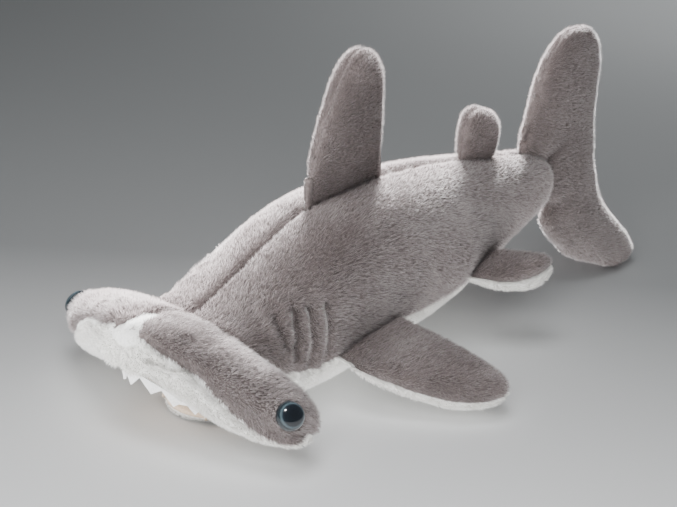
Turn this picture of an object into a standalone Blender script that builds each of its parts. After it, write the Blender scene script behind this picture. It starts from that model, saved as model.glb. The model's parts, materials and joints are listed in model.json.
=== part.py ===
"""Plush hammerhead shark, as the pieces of cloth, stuffing and plastic it is sewn from.

Metres, +Z up. The shark faces -Y and its left side is +X. The pieces are laid out along the
shark's own axes, with Y = 0 at the middle of its head and Z = 0 under its belly, and all of
them hang from the empty "toy", which tips the shark onto its belly and the lower lobe of
its tail and puts the origin on the floor under the middle of the toy.
"""

import math

import bmesh
import bpy
from mathutils import Matrix, Vector

# ---------------------------------------------------------------- sizes, in metres

# cloth and clearances
PLUSH = 0.003                 # pressed thickness of the plush cloth, backing and pile
LINING = 0.0009               # smooth cloth that lines the mouth
SEAM_GAP = 0.0003             # between two pieces that touch
FILL_GAP = 0.0011             # between a skin and the stuffing inside it
BACK_LIFT = 0.00036           # the back panels sit this much above the belly panel
THINNEST = 0.0004             # half the least thickness of a filling at its tip

# head: a hammer whose two lobes sweep back and droop
HEAD_WIDTH = 0.181
HEAD_CHORD = 0.050            # front to back
HEAD_THICKNESS = 0.042        # top to bottom
HEAD_TOP = 0.0755             # height of the head's top over the belly
LOBE_SWEEP = 0.335            # backwards, per metre outwards
LOBE_DROOP = 0.33             # downwards, per metre outwards
LOBE_BLUNTNESS = 3.4          # 2 is an ellipse seen from above, more is blunter
MID_EASE = 0.022              # the width over which the two lobes bend into each other
MID_PINCH = 0.008             # how much thinner the head is between the lobes
PINCH_WIDTH = 0.032           # how far out that thinning reaches
HEAD_TILT = 13.0              # degrees, front edge up
HEAD_FULLNESS = 0.86          # 1 is an ellipse in section, less is squarer
CHIN_FULLNESS = 1.25          # the same for the part under the front edge

# body
BODY_LENGTH = 0.300           # from the middle of the head to the round tail end
BODY_WIDTH = 0.094
BODY_HEIGHT = 0.102
BODY_FULLNESS = 0.92          # 1 is an ellipse in section, less is squarer

# fins standing on the back; each front is measured from the middle of the head
DORSAL_FRONT = 0.100
DORSAL_BASE = 0.061
DORSAL_HEIGHT = 0.072
DORSAL_THICKNESS = 0.024
SECOND_FRONT = 0.222
SECOND_BASE = 0.034
SECOND_HEIGHT = 0.027
SECOND_THICKNESS = 0.020

# tail fin
TAIL_UP = 0.089               # upper lobe, above the middle of the tail end
TAIL_DOWN = 0.087             # lower lobe, below it
TAIL_CHORD = 0.042
TAIL_THICKNESS = 0.022
TAIL_GAP = 0.0012             # between the body's round end and the fin

# paired fins
PECTORAL_FRONT = 0.080
PECTORAL_ROOT = 0.059
PECTORAL_SPAN = 0.077
PECTORAL_THICKNESS = 0.023
PECTORAL_ANGLE = 108.0        # from the top of the body round to the root seam
PECTORAL_DROOP = 19.0         # degrees below level
PECTORAL_RAKE = 34.0          # degrees backwards from straight out
PELVIC_FRONT = 0.198
PELVIC_ROOT = 0.034
PELVIC_SPAN = 0.035
PELVIC_THICKNESS = 0.020
PELVIC_ANGLE = 117.0
PELVIC_DROOP = 2.0
PELVIC_RAKE = 38.0

ROOT_RADIUS = 0.0042          # half the thickness of a fin where it is sewn down
JAW_ROOT_RADIUS = 0.0030      # the same for the jaw
ROOT_LIFT = 0.0028            # from the body to the hinge line of a fin
FIN_SWELL = 0.30              # share of the span over which a fin reaches its full thickness
TIP_START = 0.72              # share of the span where the tip begins to round off
TIP_FULLNESS = 2.4
TIP_CHORD = 0.35              # of the chord that is left at the very tip
TAIL_TIP_START = 0.60
TAIL_TIP_FULLNESS = 2.6
TAIL_TIP_CHORD = 0.40

# mouth
JAW_HINGE_BACK = 0.047        # behind the middle of the head
JAW_HINGE_DROP = 0.0047       # below the body at the hinge
JAW_LENGTH = 0.037
JAW_WIDTH = 0.056
JAW_THICKNESS = 0.0085
JAW_DROOP = -0.5              # degrees below level, forwards
TOOTH_LENGTH = 0.0074
TOOTH_CLOTH = 0.0011
TOOTH_HEM = 0.0016            # the uncut edge of the felt that the teeth stand on
UPPER_TEETH = 9
LOWER_TEETH = 7
GUM_HALF_WIDTH = 0.031        # of the arc of upper teeth
GUM_FRONT = -0.015            # from the middle of the head
GUM_BACK = 0.008
GUM_SWEEP = 0.25              # backwards, per metre outwards
GUM_DROP = 0.0016             # from the plush to the felt's sewn edge
PALATE_BACK = 0.036
PALATE_DROP = 0.0012          # from the plush to the cloth that lines it
PALATE_SPREAD = 0.86          # how far round the arc of teeth the cloth reaches
PALATE_NARROW = 0.93          # its width there, as a share of the arc's
LOWER_TEETH_BACK = 0.30       # share of the jaw's length where the row of lower teeth starts
LOWER_TEETH_RUN = 0.62        # from there to its front
LOWER_TEETH_WIDTH = 0.80      # share of the jaw's width
LOWER_TEETH_SEAT = 0.93       # share of the jaw's half thickness
LOWER_TEETH_LEAN = 26.0       # degrees forwards

# safety eyes
EYE_DIAMETER = 0.0150
EYE_DOME = 0.0048
EYE_RIM = 0.0010
EYE_SHANK = 0.0042
EYE_SHANK_LENGTH = 0.0135
EYE_SEAT = 0.0012             # how deep the rim presses into the plush
EYE_OUT = 0.955               # share of the head's half width where the eye sits
EYE_ANGLE = 46.0              # degrees above the front edge of the lobe
WASHER_DIAMETER = 0.0120
WASHER_THICKNESS = 0.0014
WASHER_DEPTH = 0.0068         # below the face of the plush
POCKET_ROOM = 0.001           # round the washer and below the shank, in the filling
CUTTER_REACH = 0.02           # how far the cutters stand out of the head

# how it rests
CONTACT_SHARE = 0.235         # share of the body's length where the belly meets the floor
BELLY_PRESS = 0.0018          # how far its own weight flattens the belly

# how finely the soft shapes are divided
BODY_ROWS = 20
BODY_COLUMNS = 8
HEAD_ROWS = 9
HEAD_COLUMNS = 7
FIN_ROWS = 7
FIN_COLUMNS = 6

# ---------------------------------------------------------------- outlines, as shares

# body: share of its length, then of its half width, its height (top), its height (bottom)
BODY_OUTLINE = (
    (0.00, 0.50, 0.572, 0.460),
    (0.07, 0.72, 0.620, 0.380),
    (0.12, 0.85, 0.665, 0.270),
    (0.155, 0.93, 0.715, 0.160),
    (0.19, 0.97, 0.765, 0.060),
    (0.225, 0.99, 0.820, 0.010),
    (0.27, 1.00, 0.885, 0.000),
    (0.35, 1.00, 0.975, 0.015),
    (0.47, 0.97, 1.000, 0.060),
    (0.59, 0.87, 0.980, 0.090),
    (0.72, 0.69, 0.921, 0.162),
    (0.84, 0.51, 0.846, 0.274),
    (0.94, 0.39, 0.776, 0.376),
    (1.00, 0.34, 0.730, 0.423),
)
# angle from the top down to the seam between a back panel and the belly panel
BELLY_SEAM = ((0.0, 100.0), (0.16, 106.0), (0.37, 112.0), (0.62, 124.0), (0.80, 150.0), (1.0, 168.0))
END_SHARE = 0.93              # the round end of the body starts here
END_STEPS = (0.45, 0.75, 0.93, 1.0)

# head: share of the half width, then the angle above the front edge of the seam between
# the grey top and the white under side
FRONT_SEAM = ((0.0, 30.0), (0.15, 23.0), (0.35, 23.0), (0.50, 20.0), (0.62, 6.0), (0.74, -22.0),
              (0.88, -58.0), (1.0, -80.0))
BACK_SEAM = 212.0

# fins: share of the span, then leading edge and trailing edge as shares of the base
DORSAL_OUTLINE = (
    (0.00, 0.02, 0.98), (0.25, 0.13, 1.00), (0.50, 0.26, 1.01),
    (0.75, 0.41, 1.00), (0.92, 0.53, 0.95), (1.00, 0.62, 0.86),
)
SECOND_OUTLINE = (
    (0.00, 0.02, 0.98), (0.30, 0.05, 1.00), (0.60, 0.11, 0.98),
    (0.85, 0.22, 0.86), (1.00, 0.38, 0.66),
)
PECTORAL_OUTLINE = (
    (0.00, 0.02, 0.98), (0.25, 0.00, 0.93), (0.50, 0.02, 0.85),
    (0.75, 0.08, 0.78), (0.92, 0.18, 0.70), (1.00, 0.32, 0.58),
)
PELVIC_OUTLINE = (
    (0.00, 0.02, 0.98), (0.30, -0.04, 1.04), (0.60, -0.02, 1.04),
    (0.85, 0.12, 0.94), (1.00, 0.34, 0.74),
)
JAW_OUTLINE = (
    (0.00, 0.02, 0.98), (0.40, 0.03, 0.97), (0.70, 0.10, 0.90),
    (0.90, 0.22, 0.78), (1.00, 0.36, 0.64),
)
# tail fin: share of the upper or (negative) lower lobe, then the edges from its front, as
# shares of its chord
TAIL_OUTLINE = (
    (-1.00, 1.50, 2.10), (-0.97, 1.34, 2.22), (-0.88, 1.02, 2.24), (-0.72, 0.44, 1.98),
    (-0.52, 0.08, 1.54), (-0.37, -0.12, 1.28), (-0.25, 0.00, 1.14), (0.00, 0.00, 1.00),
    (0.17, 0.00, 0.98), (0.28, -0.42, 0.99), (0.38, -0.50, 1.00), (0.54, -0.42, 1.03),
    (0.70, -0.30, 1.07), (0.84, -0.16, 1.08), (0.94, -0.02, 1.03), (0.985, 0.10, 0.92),
    (1.00, 0.22, 0.80),
)

TAIL_FRONT = BODY_LENGTH + TAIL_GAP
TAIL_Z = BODY_HEIGHT * 0.5 * (BODY_OUTLINE[-1][2] + BODY_OUTLINE[-1][3])


# ---------------------------------------------------------------- small tools

def along(table, t, column=1):
    """Smooth value of a table's column at t, with no overshoot between its points."""
    xs = [row[0] for row in table]
    ys = [row[column] for row in table]
    t = min(max(t, xs[0]), xs[-1])
    i = max(k for k in range(len(xs) - 1) if xs[k] <= t)
    steps = [(ys[k + 1] - ys[k]) / (xs[k + 1] - xs[k]) for k in range(len(xs) - 1)]

    def slope(k):
        if k == 0 or k == len(xs) - 1:
            return steps[min(k, len(steps) - 1)]
        if steps[k - 1] * steps[k] <= 0:
            return 0.0
        return 2 * steps[k - 1] * steps[k] / (steps[k - 1] + steps[k])

    h = xs[i + 1] - xs[i]
    s = (t - xs[i]) / h
    start = ys[i] * (1 + 2 * s) * (1 - s) ** 2 + slope(i) * h * s * (1 - s) ** 2
    end = ys[i + 1] * s * s * (3 - 2 * s) - slope(i + 1) * h * s * s * (1 - s)
    return start + end


def power(value, exponent):
    """A signed power, for super-ellipses."""
    return math.copysign(abs(value) ** exponent, value)


def material(name, colour, roughness, metallic=0.0):
    made = bpy.data.materials.new(name)
    made.use_nodes = True
    shader = made.node_tree.nodes["Principled BSDF"]
    shader.inputs["Base Color"].default_value = (*colour, 1.0)
    shader.inputs["Roughness"].default_value = roughness
    shader.inputs["Metallic"].default_value = metallic
    return made


def add_object(name, mesh_builder, finish):
    """Closes a bmesh into a named object with faces pointing out."""
    bmesh.ops.remove_doubles(mesh_builder, verts=mesh_builder.verts, dist=1e-7)
    bmesh.ops.dissolve_degenerate(mesh_builder, edges=mesh_builder.edges, dist=1e-7)
    bmesh.ops.recalc_face_normals(mesh_builder, faces=mesh_builder.faces)
    mesh = bpy.data.meshes.new(name)
    mesh_builder.to_mesh(mesh)
    mesh_builder.free()
    mesh.shade_smooth()
    if finish is not None:
        mesh.materials.append(finish)
    made = bpy.data.objects.new(name, mesh)
    bpy.context.scene.collection.objects.link(made)
    return made


def skin(name, outer, inner, finish):
    """A sheet of cloth between two grids of points that have as many rows and columns."""
    b = bmesh.new()
    rows, columns = len(outer), len(outer[0])
    out = [[b.verts.new(p) for p in row] for row in outer]
    back = [[b.verts.new(p) for p in row] for row in inner]
    for i in range(rows - 1):
        for j in range(columns - 1):
            b.faces.new((out[i][j], out[i][j + 1], out[i + 1][j + 1], out[i + 1][j]))
            b.faces.new((back[i][j], back[i + 1][j], back[i + 1][j + 1], back[i][j + 1]))
    for i in range(rows - 1):
        b.faces.new((out[i][0], out[i + 1][0], back[i + 1][0], back[i][0]))
        b.faces.new((out[i][-1], back[i][-1], back[i + 1][-1], out[i + 1][-1]))
    for j in range(columns - 1):
        b.faces.new((out[0][j], back[0][j], back[0][j + 1], out[0][j + 1]))
        b.faces.new((out[-1][j], out[-1][j + 1], back[-1][j + 1], back[-1][j]))
    return add_object(name, b, finish)


def solid(name, rings, finish):
    """A closed body through rings of points; a ring whose points all meet is a tip."""
    b = bmesh.new()
    loops = [[b.verts.new(p) for p in ring] for ring in rings]
    count = len(rings[0])
    for lower, upper in zip(loops, loops[1:]):
        for j in range(count):
            k = (j + 1) % count
            b.faces.new((lower[j], lower[k], upper[k], upper[j]))
    for loop, ring in ((loops[0], rings[0]), (loops[-1], rings[-1])):
        if max((Vector(p) - Vector(ring[0])).length for p in ring) > 1e-7:
            b.faces.new(loop)
    return add_object(name, b, finish)


def disc_stack(name, place, profile, segments, finish):
    """A turned piece: profile is (radius, height) pairs along the local +Z of place."""
    rings = []
    for radius, height in profile:
        ring = []
        for k in range(segments):
            angle = 2 * math.pi * k / segments
            local = Vector((radius * math.cos(angle), radius * math.sin(angle), height))
            ring.append(place @ local)
        rings.append(ring)
    return solid(name, rings, finish)


def cut(target, cutter):
    """Takes the cutter's volume out of the target."""
    modifier = target.modifiers.new("cut_by_" + cutter.name, "BOOLEAN")
    modifier.operation = "DIFFERENCE"
    modifier.solver = "EXACT"
    modifier.object = cutter


def as_cutter(made):
    made.hide_render = True
    made.display_type = "WIRE"
    return made


def spread(count, start=0.0, end=1.0):
    return [start + (end - start) * i / count for i in range(count + 1)]


def toward_tip(count):
    """Shares of a span whose steps shorten towards the tip."""
    return [math.sin(0.5 * math.pi * i / count) for i in range(count + 1)]


def move_origin(made, point):
    """Puts an object's origin on its joint's axis, with the piece where it was."""
    made.data.transform(Matrix.Translation(-Vector(point)))
    made.location = point


# ---------------------------------------------------------------- how the toy rests

def rest_line():
    """The slope of the floor along the shark, and its height at the middle of the head."""
    contact_y = BODY_LENGTH * CONTACT_SHARE
    contact_z = BODY_HEIGHT * along(BODY_OUTLINE, CONTACT_SHARE, 3) + BELLY_PRESS
    tip_y = TAIL_FRONT + TAIL_CHORD * 0.5 * (TAIL_OUTLINE[0][1] + TAIL_OUTLINE[0][2])
    tip_z = TAIL_Z - TAIL_DOWN
    slope = (tip_z - contact_z) / (tip_y - contact_y)
    return slope, contact_z - slope * contact_y


def floor_height(y):
    slope, start = rest_line()
    return start + slope * y


# ---------------------------------------------------------------- body

def body_share(y):
    return y / BODY_LENGTH


def body_size(share, inset):
    """Half width, middle height, height above the middle and below it."""
    top = BODY_HEIGHT * along(BODY_OUTLINE, share, 2)
    bottom = BODY_HEIGHT * along(BODY_OUTLINE, share, 3)
    half_width = 0.5 * BODY_WIDTH * along(BODY_OUTLINE, share, 1)
    middle = 0.5 * (top + bottom)
    half_height = 0.5 * (top - bottom)
    return max(half_width - inset, 0.0), middle, max(half_height - inset, 0.0)


def body_point(share, angle, inset=0.0):
    """Angle in degrees: 0 is the top, 90 the left side, 180 the bottom."""
    half_width, middle, half_height = body_size(share, inset)
    a = math.radians(angle)
    x = half_width * power(math.sin(a), BODY_FULLNESS)
    z = middle + half_height * power(math.cos(a), BODY_FULLNESS)
    y = BODY_LENGTH * share
    return Vector((x, y, max(z, floor_height(y) + inset)))


def body_shares(inset):
    """Shares from the head to the tail end; the last is the tip of that layer."""
    end = 1.0 - inset / BODY_LENGTH
    straight = spread(BODY_ROWS - len(END_STEPS), 0.0, END_SHARE)
    rest = [END_SHARE + (end - END_SHARE) * s for s in END_STEPS]
    return straight + rest


def body_row(share, inset, first, last, columns, shift):
    last_row = share >= 1.0 - inset / BODY_LENGTH - 1e-9
    squeeze = 1.0
    if share > END_SHARE:
        t = (share - END_SHARE) / (1.0 - inset / BODY_LENGTH - END_SHARE)
        squeeze = math.sqrt(max(0.0, 1.0 - t * t))
    base = min(share, END_SHARE)
    row = []
    for j in range(columns + 1):
        angle = first + (last - first) * j / columns
        p = body_point(base, angle, inset)
        middle = Vector((0.0, 0.0, body_size(base, inset)[1]))
        p.x *= squeeze
        p.z = middle.z + (p.z - middle.z) * squeeze
        if last_row:
            p.x = 0.0
            p.z = middle.z
        p.y = BODY_LENGTH * share
        row.append(p + Vector(shift))
    return row


def body_grid(inset, side, panel, shift):
    rows = []
    for share in body_shares(inset):
        seam = along(BELLY_SEAM, share)
        if panel == "back":
            row = body_row(share, inset, 0.0, seam, BODY_COLUMNS, shift)
        else:
            row = body_row(share, inset, seam, 360.0 - seam, BODY_COLUMNS + 2, shift)
        if side < 0:
            row = [Vector((-p.x, p.y, p.z)) for p in row]
        rows.append(row)
    return rows


def body_top(y):
    return body_point(body_share(y), 0.0).z


def body_rings(inset):
    count = 2 * BODY_COLUMNS + 4
    rings = []
    for share in body_shares(inset):
        row = body_row(share, inset, 0.0, 360.0, count, (0.0, 0.0, 0.0))
        rings.append(row[:-1])
    return rings


def make_body(plush_grey, plush_white, fill):
    half = 0.5 * SEAM_GAP
    pieces = {}
    for side, name in ((1, "back_panel_left"), (-1, "back_panel_right")):
        shift = (half, 0.0, BACK_LIFT)
        outer = body_grid(0.0, side, "back", shift)
        inner = body_grid(PLUSH, side, "back", shift)
        pieces[name] = skin(name, outer, inner, plush_grey)
    outer = body_grid(0.0, 1, "belly", (0.0, 0.0, 0.0))
    inner = body_grid(PLUSH, 1, "belly", (0.0, 0.0, 0.0))
    pieces["belly_panel"] = skin("belly_panel", outer, inner, plush_white)
    pieces["body_stuffing"] = solid("body_stuffing", body_rings(PLUSH + FILL_GAP), fill)
    return pieces


# ---------------------------------------------------------------- head

def head_section(x, inset):
    """Middle of the section at x, and its half chord and half thickness."""
    half = 0.5 * HEAD_WIDTH - inset
    share = min(abs(x) / half, 1.0)
    size = (1.0 - share ** LOBE_BLUNTNESS) ** (1.0 / LOBE_BLUNTNESS)
    outward = math.hypot(x, MID_EASE) - MID_EASE
    y = LOBE_SWEEP * outward
    middle = HEAD_TOP - 0.5 * HEAD_THICKNESS
    thinner = 0.5 * MID_PINCH * math.exp(-((x / PINCH_WIDTH) ** 2))
    z = middle + thinner - LOBE_DROOP * outward
    thick = 0.5 * HEAD_THICKNESS - thinner - inset
    return y, z, (0.5 * HEAD_CHORD - inset) * size, thick * size


def head_point(x, angle, inset=0.0):
    """Angle in degrees: 0 is the front edge, 90 the top, 180 the back."""
    y, z, chord, thick = head_section(x, inset)
    a = math.radians(angle)
    fullness = CHIN_FULLNESS if 270.0 < angle % 360.0 < 360.0 else HEAD_FULLNESS
    back = -chord * power(math.cos(a), fullness)
    up = thick * power(math.sin(a), fullness)
    tilt = math.radians(HEAD_TILT)
    return Vector((x, y + back * math.cos(tilt) + up * math.sin(tilt),
                   z - back * math.sin(tilt) + up * math.cos(tilt)))


def head_grid(inset, side, panel, shift):
    half = 0.5 * HEAD_WIDTH - inset
    rows = []
    for t in toward_tip(HEAD_ROWS):
        front = along(FRONT_SEAM, t)
        if panel == "top":
            first, last = front, BACK_SEAM
        else:
            first, last = BACK_SEAM, 360.0 + front
        row = []
        for j in range(HEAD_COLUMNS + 1):
            p = head_point(half * t, first + (last - first) * j / HEAD_COLUMNS, inset)
            p += Vector(shift)
            p.x *= side
            row.append(p)
        rows.append(row)
    return rows


def head_rings(inset):
    half = 0.5 * HEAD_WIDTH - inset
    outward = toward_tip(HEAD_ROWS)
    shares = [-t for t in reversed(outward[1:])] + outward
    count = 2 * HEAD_COLUMNS + 2
    return [[head_point(half * s, 360.0 * j / count, inset) for j in range(count)] for s in shares]


def head_under(x, y):
    """Height of the head's under side."""
    below = [head_point(x, angle) for angle in range(190, 350, 2)]
    for behind, ahead in zip(below, below[1:]):
        if ahead.y <= y <= behind.y:
            return behind.z + (ahead.z - behind.z) * (y - behind.y) / (ahead.y - behind.y)
    return below[0].z if y > below[0].y else below[-1].z


def make_head(plush_grey, plush_white, fill):
    half = 0.5 * SEAM_GAP
    pieces = {}
    for side, hand in ((1, "left"), (-1, "right")):
        for panel, name, finish, lift in (
            ("top", "head_top_" + hand, plush_grey, half),
            ("under", "head_under_" + hand, plush_white, -half),
        ):
            shift = (half, 0.0, lift)
            outer = head_grid(0.0, side, panel, shift)
            inner = head_grid(PLUSH, side, panel, shift)
            pieces[name] = skin(name, outer, inner, finish)
    pieces["head_stuffing"] = solid("head_stuffing", head_rings(PLUSH + FILL_GAP), fill)
    return pieces


def join_neck(body, head):
    """The body ends against the head, and the two fillings meet through the neck."""
    around_head = as_cutter(solid("cutter_head", head_rings(-2 * SEAM_GAP), None))
    inside_head = as_cutter(solid("cutter_filling", head_rings(PLUSH + FILL_GAP - SEAM_GAP), None))
    throat = as_cutter(solid("cutter_throat", body_rings(PLUSH + FILL_GAP - 2 * SEAM_GAP), None))
    for name in ("back_panel_left", "back_panel_right", "belly_panel"):
        cut(body[name], around_head)
    cut(body["body_stuffing"], inside_head)
    for name in ("head_top_left", "head_top_right", "head_under_left", "head_under_right"):
        cut(head[name], throat)


# ---------------------------------------------------------------- eyes

def eye_place(side):
    """Local +Z points out of the head, the origin is on the plush."""
    x = 0.5 * HEAD_WIDTH * EYE_OUT
    step = 0.002
    centre = head_point(x, EYE_ANGLE)
    across = head_point(x, EYE_ANGLE + 6.0) - head_point(x, EYE_ANGLE - 6.0)
    outwards = head_point(x + step, EYE_ANGLE) - head_point(x - step, EYE_ANGLE)
    normal = outwards.cross(across).normalized()
    if normal.x < 0:
        normal = -normal
    place = normal.to_track_quat("Z", "Y").to_matrix().to_4x4()
    place.translation = centre
    if side < 0:
        mirror = Matrix.Diagonal((-1.0, 1.0, 1.0, 1.0))
        place = mirror @ place @ mirror
    return place


def dome(radius, height, steps):
    return [(radius * math.cos(0.5 * math.pi * i / steps), height * math.sin(0.5 * math.pi * i / steps))
            for i in range(steps + 1)]


def make_eyes(head, eye_plastic, lock_plastic):
    radius = 0.5 * EYE_DIAMETER
    shank = 0.5 * EYE_SHANK
    seat = -EYE_SEAT
    washer_top = -WASHER_DEPTH
    washer_low = washer_top - WASHER_THICKNESS
    for side, hand in ((1, "left"), (-1, "right")):
        place = eye_place(side)
        rim = seat + EYE_RIM
        profile = [(0.0, seat - EYE_SHANK_LENGTH), (shank, seat - EYE_SHANK_LENGTH), (shank, seat)]
        profile += [(radius, seat), (radius, rim)]
        profile += [(r, rim + h) for r, h in dome(radius, EYE_DOME, 5)[1:]]
        disc_stack("eye_" + hand, place, profile, 28, eye_plastic)
        hole = shank + SEAM_GAP
        washer = 0.5 * WASHER_DIAMETER
        ring = [(hole, washer_low), (washer, washer_low), (washer, washer_top), (hole, washer_top)]
        make_ring("eye_washer_" + hand, place, ring, 20, lock_plastic)
        deep = seat - EYE_SHANK_LENGTH - POCKET_ROOM
        seat_cutter = disc_stack(
            "cutter_eye_seat_" + hand, place,
            [(0.0, deep), (hole, deep), (hole, seat - SEAM_GAP), (radius + SEAM_GAP, seat - SEAM_GAP),
             (radius + SEAM_GAP, CUTTER_REACH), (0.0, CUTTER_REACH)], 28, None)
        pocket = disc_stack(
            "cutter_eye_pocket_" + hand, place,
            [(0.0, deep), (washer + POCKET_ROOM, deep), (washer + POCKET_ROOM, CUTTER_REACH),
             (0.0, CUTTER_REACH)], 20, None)
        cut(head["head_top_" + hand], as_cutter(seat_cutter))
        cut(head["head_stuffing"], as_cutter(pocket))


def make_ring(name, place, profile, segments, finish):
    """A turned ring: the profile is a closed loop of (radius, height) pairs."""
    b = bmesh.new()
    loops = []
    for radius, height in profile:
        loop = []
        for k in range(segments):
            angle = 2 * math.pi * k / segments
            local = Vector((radius * math.cos(angle), radius * math.sin(angle), height))
            loop.append(b.verts.new(place @ local))
        loops.append(loop)
    for lower, upper in zip(loops, loops[1:] + loops[:1]):
        for j in range(segments):
            k = (j + 1) % segments
            b.faces.new((lower[j], lower[k], upper[k], upper[j]))
    return add_object(name, b, finish)


# ---------------------------------------------------------------- fins

class Fin:
    """A flat stuffed fin: chord runs along the root seam, span away from it."""

    def __init__(self, root, chord, span, outline, base, height, thickness, root_radius=ROOT_RADIUS):
        self.root = Vector(root)
        self.chord = Vector(chord).normalized()
        self.span = Vector(span).normalized()
        self.up = self.span.cross(self.chord).normalized()
        self.outline = outline
        self.base = base
        self.height = height
        self.thickness = thickness
        self.root_radius = root_radius

    def ring(self, share, inset, first, last, count, lift=0.0):
        reach = share * (1.0 - inset / self.height)
        lead = self.base * along(self.outline, reach, 1)
        trail = self.base * along(self.outline, reach, 2)
        grow = min(1.0, reach / FIN_SWELL)
        grow = grow * grow * (3 - 2 * grow)
        half_thick = self.root_radius + (0.5 * self.thickness - self.root_radius) * grow
        tip = max(0.0, (share - TIP_START) / (1.0 - TIP_START))
        close = math.sqrt(max(0.0, 1.0 - tip ** TIP_FULLNESS))
        half_thick *= close
        least = THINNEST if share < 1.0 else 0.0
        narrow = TIP_CHORD + (1.0 - TIP_CHORD) * close if share < 1.0 else 0.0
        half_chord = max(0.5 * (trail - lead) * narrow - inset, least)
        half_thick = max(half_thick - inset, least)
        middle = self.root + self.chord * 0.5 * (lead + trail) + self.span * (reach * self.height)
        points = []
        for j in range(count + 1):
            a = math.radians(first + (last - first) * j / count)
            points.append(middle + self.chord * (half_chord * math.cos(a))
                          + self.up * (half_thick * math.sin(a) + lift))
        return points

    def grid(self, inset, upper):
        first, last = (0.0, 180.0) if upper else (180.0, 360.0)
        lift = 0.5 * SEAM_GAP if upper else -0.5 * SEAM_GAP
        return [self.ring(t, inset, first, last, FIN_COLUMNS, lift) for t in toward_tip(FIN_ROWS)]

    def rings(self, inset):
        return [self.ring(t, inset, 0.0, 360.0, 2 * FIN_COLUMNS)[:-1] for t in toward_tip(FIN_ROWS)]


def make_fin(fin, names, finishes, hinge):
    """Two skins and the filling between them, each with its origin on the hinge."""
    upper, under, filling = names
    made = [
        skin(upper, fin.grid(0.0, True), fin.grid(PLUSH, True), finishes[0]),
        skin(under, fin.grid(0.0, False), fin.grid(PLUSH, False), finishes[1]),
        solid(filling, fin.rings(PLUSH + FILL_GAP), finishes[2]),
    ]
    for piece in made:
        move_origin(piece, hinge)


def make_back_fin(name, front, base, height, thickness, outline, finishes):
    """A fin that stands on the back, over its hinge along the root seam."""
    samples = [body_top(front + base * t) for t in spread(6)]
    low, high = Vector((0, front, samples[0])), Vector((0, front + base, samples[-1]))
    chord = high - low
    bulge = max(z - (samples[0] + (samples[-1] - samples[0]) * t) for z, t in zip(samples, spread(6)))
    root = low + Vector((0, 0, max(bulge, 0.0) + ROOT_LIFT))
    fin = Fin(root, chord, (0, 0, 1), outline, base, height, thickness)
    make_fin(fin, (name + "_left", name + "_right", name + "_stuffing"), finishes, root)


def make_side_fin(name, side, front, base, span, thickness, angle, droop, rake, outline, finishes):
    """A paired fin, sewn along the flank; it swings up and down about its root seam."""
    start = body_point(body_share(front), angle)
    end = body_point(body_share(front + base), angle)
    chord = end - start
    out = Vector((math.sin(math.radians(angle)), 0.0, math.cos(math.radians(angle))))
    bulge = 0.0
    for t in spread(6):
        skin_point = body_point(body_share(front + base * t), angle)
        bulge = max(bulge, (skin_point - (start + chord * t)).dot(out))
    root = start + out * (bulge + ROOT_LIFT)
    d, r = math.radians(droop), math.radians(rake)
    reach = Vector((math.cos(d) * math.cos(r), math.cos(d) * math.sin(r), -math.sin(d)))
    if side < 0:
        root.x, chord.x, reach.x = -root.x, -chord.x, -reach.x
    fin = Fin(root, chord, reach, outline, base, span, thickness)
    if fin.up.z < 0:
        fin.up = -fin.up
    make_fin(fin, (name + "_top", name + "_under", name + "_stuffing"), finishes, root)


def tail_rings(inset, first, last, count, lift):
    rings = []
    for t in (row[0] for row in TAIL_OUTLINE):
        tip = abs(t) == 1.0
        reach = t * (1.0 - inset / (TAIL_UP if t > 0 else TAIL_DOWN))
        z = TAIL_Z + (TAIL_UP if reach > 0 else TAIL_DOWN) * reach
        lead = TAIL_FRONT + TAIL_CHORD * along(TAIL_OUTLINE, reach, 1)
        trail = TAIL_FRONT + TAIL_CHORD * along(TAIL_OUTLINE, reach, 2)
        beyond = max(0.0, (abs(t) - TAIL_TIP_START) / (1.0 - TAIL_TIP_START))
        close = math.sqrt(max(0.0, 1.0 - beyond ** TAIL_TIP_FULLNESS))
        narrow = TAIL_TIP_CHORD + (1.0 - TAIL_TIP_CHORD) * close
        half_chord = 0.0 if tip else max(0.5 * (trail - lead) * narrow - inset, THINNEST)
        half_thick = 0.0 if tip else max(0.5 * TAIL_THICKNESS * close - inset, THINNEST)
        ring = []
        for j in range(count + 1):
            a = math.radians(first + (last - first) * j / count)
            ring.append(Vector((half_thick * math.sin(a) + lift,
                                0.5 * (lead + trail) + half_chord * math.cos(a), z)))
        rings.append(ring)
    return rings


def make_tail(finishes):
    """The tail fin stands on edge behind the round end of the body."""
    hinge = (0.0, TAIL_FRONT + ROOT_RADIUS, TAIL_Z)
    half = 0.5 * SEAM_GAP
    made = []
    for name, first, last, lift, finish in (
        ("tail_fin_left", 0.0, 180.0, half, finishes[0]),
        ("tail_fin_right", 180.0, 360.0, -half, finishes[1]),
    ):
        outer = tail_rings(0.0, first, last, FIN_COLUMNS, lift)
        inner = tail_rings(PLUSH, first, last, FIN_COLUMNS, lift)
        made.append(skin(name, outer, inner, finish))
    rings = tail_rings(PLUSH + FILL_GAP, 0.0, 360.0, 2 * FIN_COLUMNS, 0.0)
    made.append(solid("tail_fin_stuffing", [ring[:-1] for ring in rings], finishes[2]))
    for piece in made:
        move_origin(piece, hinge)


# ---------------------------------------------------------------- mouth

def gum_point(t):
    """The arc of upper teeth on the head's under side, t from -1 (right) to 1 (left)."""
    x = GUM_HALF_WIDTH * math.sin(0.5 * math.pi * t)
    y = GUM_FRONT + (GUM_BACK - GUM_FRONT) * (1.0 - math.cos(0.5 * math.pi * t)) + GUM_SWEEP * abs(x)
    return x, y


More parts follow.
